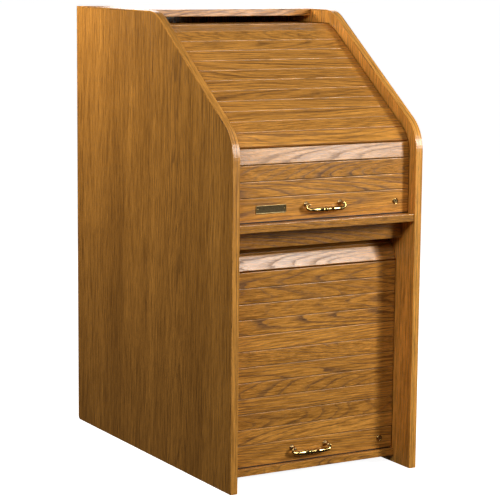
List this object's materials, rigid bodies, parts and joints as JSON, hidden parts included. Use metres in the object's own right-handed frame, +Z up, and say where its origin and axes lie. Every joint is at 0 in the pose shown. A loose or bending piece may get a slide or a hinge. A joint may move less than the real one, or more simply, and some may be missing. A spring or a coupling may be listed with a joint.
{
  "type": "roll top desk",
  "caption": "Narrow oak roll-top desk cabinet with a sloping tambour door above its desk shelf and a second tambour door below, brass bail pulls and cam locks.",
  "frame": {"origin": "bottom centre of the cabinet, on the floor", "axes": "+X to the right as seen from the front, -Y out of the front, +Z up"},
  "size_m": [0.54, 0.87, 1.146],
  "materials": {
    "side_panels": "honey oak, satin lacquer",
    "edge_bands": "honey oak, satin lacquer",
    "lippings": "honey oak, satin lacquer",
    "slats": "honey oak, satin lacquer",
    "lock_rails": "honey oak, satin lacquer",
    "case_boards": "honey oak, satin lacquer",
    "rear_board": "oak ply, matt",
    "brass": "polished",
    "badge": "aged, satin",
    "seals": "matt"
  },
  "bodies": {
    "case": {"bottom_shelf": "case_boards", "bottom_shelf_lipping": "lippings", "desk_shelf": "case_boards", "desk_shelf_nosing": "lippings", "left_edge_band": "edge_bands", "left_side_panel": "side_panels", "rear_panel": "rear_board", "right_edge_band": "edge_bands", "right_side_panel": "side_panels", "top_panel": "case_boards", "top_panel_lipping": "lippings", "valance_rail": "case_boards"},
    "upper_door_rail": {"upper_lock_rail": "lock_rails", "upper_rubber_seal": "seals", "upper_handle_post_left": "brass", "upper_handle_post_right": "brass", "upper_lock_shell": "brass", "brass_badge_plate": "badge"},
    "upper_slat_01": {"upper_slat_01": "slats"},
    "upper_slat_02": {"upper_slat_02": "slats"},
    "upper_slat_03": {"upper_slat_03": "slats"},
    "upper_slat_04": {"upper_slat_04": "slats"},
    "upper_slat_05": {"upper_slat_05": "slats"},
    "upper_slat_06": {"upper_slat_06": "slats"},
    "upper_slat_07": {"upper_slat_07": "slats"},
    "upper_slat_08": {"upper_slat_08": "slats"},
    "upper_slat_09": {"upper_slat_09": "slats"},
    "upper_slat_10": {"upper_slat_10": "slats"},
    "upper_slat_11": {"upper_slat_11": "slats"},
    "upper_slat_12": {"upper_slat_12": "slats"},
    "upper_slat_13": {"upper_slat_13": "slats"},
    "upper_slat_14": {"upper_slat_14": "slats"},
    "upper_slat_15": {"upper_slat_15": "slats"},
    "upper_slat_16": {"upper_slat_16": "slats"},
    "upper_slat_17": {"upper_slat_17": "slats"},
    "upper_slat_18": {"upper_slat_18": "slats"},
    "lower_door_rail": {"lower_lock_rail": "lock_rails", "lower_rubber_seal": "seals", "lower_handle_post_left": "brass", "lower_handle_post_right": "brass", "lower_lock_shell": "brass"},
    "lower_slat_01": {"lower_slat_01": "slats"},
    "lower_slat_02": {"lower_slat_02": "slats"},
    "lower_slat_03": {"lower_slat_03": "slats"},
    "lower_slat_04": {"lower_slat_04": "slats"},
    "lower_slat_05": {"lower_slat_05": "slats"},
    "lower_slat_06": {"lower_slat_06": "slats"},
    "lower_slat_07": {"lower_slat_07": "slats"},
    "lower_slat_08": {"lower_slat_08": "slats"},
    "lower_slat_09": {"lower_slat_09": "slats"},
    "lower_slat_10": {"lower_slat_10": "slats"},
    "lower_slat_11": {"lower_slat_11": "slats"},
    "lower_slat_12": {"lower_slat_12": "slats"},
    "lower_slat_13": {"lower_slat_13": "slats"},
    "lower_slat_14": {"lower_slat_14": "slats"},
    "upper_bail": {"upper_handle_bail": "brass"},
    "upper_lock": {"upper_lock_plug": "brass"},
    "lower_bail": {"lower_handle_bail": "brass"},
    "lower_lock": {"lower_lock_plug": "brass"}
  },
  "joints": [
    {"name": "upper_door_roll", "type": "hinge", "parent": "case", "child": "upper_door_rail", "pos_m": [0, -0.19512, 0.7368], "axis": [-1, 0, 0], "range_deg": [0, 53.1]},
    {"name": "upper_slat_01_travel", "type": "hinge", "parent": "case", "child": "upper_slat_01", "pos_m": [0, -0.20089, 0.73891], "axis": [-1, 0, 0], "range_deg": [0, 54.71]},
    {"name": "upper_slat_02_travel", "type": "hinge", "parent": "case", "child": "upper_slat_02", "pos_m": [0, -0.20089, 0.73891], "axis": [-1, 0, 0], "range_deg": [0, 54.71]},
    {"name": "upper_slat_03_travel", "type": "hinge", "parent": "case", "child": "upper_slat_03", "pos_m": [0, -0.17977, 0.71943], "axis": [-1, 0, 0], "range_deg": [0, 48.08]},
    {"name": "upper_slat_04_travel", "type": "hinge", "parent": "case", "child": "upper_slat_04", "pos_m": [0, 0.17216, 0.27068], "axis": [-1, 0, 0], "range_deg": [0, 14.1]},
    {"name": "upper_slat_05_travel", "type": "slide", "parent": "case", "child": "upper_slat_05", "axis": [0, 0.8161, 0.5779], "range_m": [0, 0.1961]},
    {"name": "upper_slat_06_travel", "type": "slide", "parent": "case", "child": "upper_slat_06", "axis": [0, 0.8161, 0.5779], "range_m": [0, 0.1961]},
    {"name": "upper_slat_07_travel", "type": "slide", "parent": "case", "child": "upper_slat_07", "axis": [0, 0.8161, 0.5779], "range_m": [0, 0.1961]},
    {"name": "upper_slat_08_travel", "type": "slide", "parent": "case", "child": "upper_slat_08", "axis": [0, 0.8161, 0.5779], "range_m": [0, 0.1961]},
    {"name": "upper_slat_09_travel", "type": "slide", "parent": "case", "child": "upper_slat_09", "axis": [0, 0.8161, 0.5779], "range_m": [0, 0.1961]},
    {"name": "upper_slat_10_travel", "type": "hinge", "parent": "case", "child": "upper_slat_10", "pos_m": [0, 0.34093, 0.3715], "axis": [-1, 0, 0], "range_deg": [0, 13.84]},
    {"name": "upper_slat_11_travel", "type": "hinge", "parent": "case", "child": "upper_slat_11", "pos_m": [0, 0.0734, 0.79067], "axis": [-1, 0, 0], "range_deg": [0, 35.26]},
    {"name": "upper_slat_12_travel", "type": "hinge", "parent": "case", "child": "upper_slat_12", "pos_m": [0, 0.07321, 0.79108], "axis": [-1, 0, 0], "range_deg": [0, 35.31]},
    {"name": "upper_slat_13_travel", "type": "hinge", "parent": "case", "child": "upper_slat_13", "pos_m": [0, 0.07321, 0.79108], "axis": [-1, 0, 0], "range_deg": [0, 35.31]},
    {"name": "upper_slat_14_travel", "type": "hinge", "parent": "case", "child": "upper_slat_14", "pos_m": [0, 0.07321, 0.79108], "axis": [-1, 0, 0], "range_deg": [0, 35.31]},
    {"name": "upper_slat_15_travel", "type": "hinge", "parent": "case", "child": "upper_slat_15", "pos_m": [0, 0.08854, 0.58507], "axis": [-1, 0, 0], "range_deg": [0, 21.48]},
    {"name": "upper_slat_16_travel", "type": "slide", "parent": "case", "child": "upper_slat_16", "axis": [0, 1, 0.0001], "range_m": [0, 0.1961]},
    {"name": "upper_slat_17_travel", "type": "slide", "parent": "case", "child": "upper_slat_17", "axis": [0, 1, 0], "range_m": [0, 0.1961]},
    {"name": "upper_slat_18_travel", "type": "slide", "parent": "case", "child": "upper_slat_18", "axis": [0, 1, 0], "range_m": [0, 0.1961]},
    {"name": "lower_door_lift", "type": "slide", "parent": "case", "child": "lower_door_rail", "axis": [0, 0, 1], "range_m": [0, 0.1568]},
    {"name": "lower_slat_01_travel", "type": "slide", "parent": "case", "child": "lower_slat_01", "axis": [0, 0, 1], "range_m": [0, 0.1569]},
    {"name": "lower_slat_02_travel", "type": "slide", "parent": "case", "child": "lower_slat_02", "axis": [0, 0, 1], "range_m": [0, 0.1569]},
    {"name": "lower_slat_03_travel", "type": "slide", "parent": "case", "child": "lower_slat_03", "axis": [0, 0, 1], "range_m": [0, 0.1569]},
    {"name": "lower_slat_04_travel", "type": "slide", "parent": "case", "child": "lower_slat_04", "axis": [0, 0, 1], "range_m": [0, 0.1569]},
    {"name": "lower_slat_05_travel", "type": "slide", "parent": "case", "child": "lower_slat_05", "axis": [0, 0, 1], "range_m": [0, 0.1569]},
    {"name": "lower_slat_06_travel", "type": "slide", "parent": "case", "child": "lower_slat_06", "axis": [0, 0, 1], "range_m": [0, 0.1569]},
    {"name": "lower_slat_07_travel", "type": "slide", "parent": "case", "child": "lower_slat_07", "axis": [0, 0.0003, 1], "range_m": [0, 0.1569]},
    {"name": "lower_slat_08_travel", "type": "hinge", "parent": "case", "child": "lower_slat_08", "pos_m": [0, 0.04898, 0.44658], "axis": [-1, 0, 0], "range_deg": [0, 22.52]},
    {"name": "lower_slat_09_travel", "type": "hinge", "parent": "case", "child": "lower_slat_09", "pos_m": [0, -0.20771, 0.47177], "axis": [-1, 0, 0], "range_deg": [0, 61.33]},
    {"name": "lower_slat_10_travel", "type": "hinge", "parent": "case", "child": "lower_slat_10", "pos_m": [0, -0.25222, 0.48828], "axis": [-1, 0, 0], "range_deg": [0, 88.88]},
    {"name": "lower_slat_11_travel", "type": "hinge", "parent": "case", "child": "lower_slat_11", "pos_m": [0, -0.25306, 0.48906], "axis": [-1, 0, 0], "range_deg": [0, 89.88]},
    {"name": "lower_slat_12_travel", "type": "hinge", "parent": "case", "child": "lower_slat_12", "pos_m": [0, -0.23925, 0.45745], "axis": [-1, 0, 0], "range_deg": [0, 67.5]},
    {"name": "lower_slat_13_travel", "type": "hinge", "parent": "case", "child": "lower_slat_13", "pos_m": [0, -0.21561, 0.27399], "axis": [-1, 0, 0], "range_deg": [0, 28.69]},
    {"name": "lower_slat_14_travel", "type": "hinge", "parent": "case", "child": "lower_slat_14", "pos_m": [0, -0.17792, -7.37641], "axis": [-1, 0, 0], "range_deg": [0, 1.14]},
    {"name": "upper_bail_swing", "type": "hinge", "parent": "upper_door_rail", "child": "upper_bail", "pos_m": [0, -0.4183, 0.69075], "axis": [-1, 0, 0], "range_deg": [-25, 90]},
    {"name": "upper_lock_turn", "type": "hinge", "parent": "upper_door_rail", "child": "upper_lock", "pos_m": [0.2115, -0.404, 0.68475], "axis": [0, -1, 0], "range_deg": [0, 90]},
    {"name": "lower_bail_swing", "type": "hinge", "parent": "lower_door_rail", "child": "lower_bail", "pos_m": [0, -0.3673, 0.0725], "axis": [-1, 0, 0], "range_deg": [-25, 90]},
    {"name": "lower_lock_turn", "type": "hinge", "parent": "lower_door_rail", "child": "lower_lock", "pos_m": [0.2115, -0.353, 0.0665], "axis": [0, -1, 0], "range_deg": [0, 90]}
  ],
  "couplings": [
    {"joint": "upper_slat_01_travel", "follows": "upper_door_roll", "ratio": 1.0301},
    {"joint": "upper_slat_02_travel", "follows": "upper_door_roll", "ratio": 1.0301},
    {"joint": "upper_slat_03_travel", "follows": "upper_door_roll", "ratio": 0.90522},
    {"joint": "upper_slat_04_travel", "follows": "upper_door_roll", "ratio": 0.26541},
    {"joint": "upper_slat_05_travel", "follows": "upper_door_roll", "m_per_rad": 0.21149},
    {"joint": "upper_slat_06_travel", "follows": "upper_door_roll", "m_per_rad": 0.21149},
    {"joint": "upper_slat_07_travel", "follows": "upper_door_roll", "m_per_rad": 0.21149},
    {"joint": "upper_slat_08_travel", "follows": "upper_door_roll", "m_per_rad": 0.21149},
    {"joint": "upper_slat_09_travel", "follows": "upper_door_roll", "m_per_rad": 0.21149},
    {"joint": "upper_slat_10_travel", "follows": "upper_door_roll", "ratio": 0.26045},
    {"joint": "upper_slat_11_travel", "follows": "upper_door_roll", "ratio": 0.66384},
    {"joint": "upper_slat_12_travel", "follows": "upper_door_roll", "ratio": 0.66478},
    {"joint": "upper_slat_13_travel", "follows": "upper_door_roll", "ratio": 0.66478},
    {"joint": "upper_slat_14_travel", "follows": "upper_door_roll", "ratio": 0.66478},
    {"joint": "upper_slat_15_travel", "follows": "upper_door_roll", "ratio": 0.40433},
    {"joint": "upper_slat_16_travel", "follows": "upper_door_roll", "m_per_rad": 0.21149},
    {"joint": "upper_slat_17_travel", "follows": "upper_door_roll", "m_per_rad": 0.21149},
    {"joint": "upper_slat_18_travel", "follows": "upper_door_roll", "m_per_rad": 0.21149},
    {"joint": "lower_slat_01_travel", "follows": "lower_door_lift", "ratio": 1},
    {"joint": "lower_slat_02_travel", "follows": "lower_door_lift", "ratio": 1},
    {"joint": "lower_slat_03_travel", "follows": "lower_door_lift", "ratio": 1},
    {"joint": "lower_slat_04_travel", "follows": "lower_door_lift", "ratio": 1},
    {"joint": "lower_slat_05_travel", "follows": "lower_door_lift", "ratio": 1},
    {"joint": "lower_slat_06_travel", "follows": "lower_door_lift", "ratio": 1},
    {"joint": "lower_slat_07_travel", "follows": "lower_door_lift", "ratio": 1},
    {"joint": "lower_slat_08_travel", "follows": "lower_door_lift", "rad_per_m": 2.5057},
    {"joint": "lower_slat_09_travel", "follows": "lower_door_lift", "rad_per_m": 6.8251},
    {"joint": "lower_slat_10_travel", "follows": "lower_door_lift", "rad_per_m": 9.8922},
    {"joint": "lower_slat_11_travel", "follows": "lower_door_lift", "rad_per_m": 10.004},
    {"joint": "lower_slat_12_travel", "follows": "lower_door_lift", "rad_per_m": 7.5121},
    {"joint": "lower_slat_13_travel", "follows": "lower_door_lift", "rad_per_m": 3.1928},
    {"joint": "lower_slat_14_travel", "follows": "lower_door_lift", "rad_per_m": 0.12566}
  ]
}
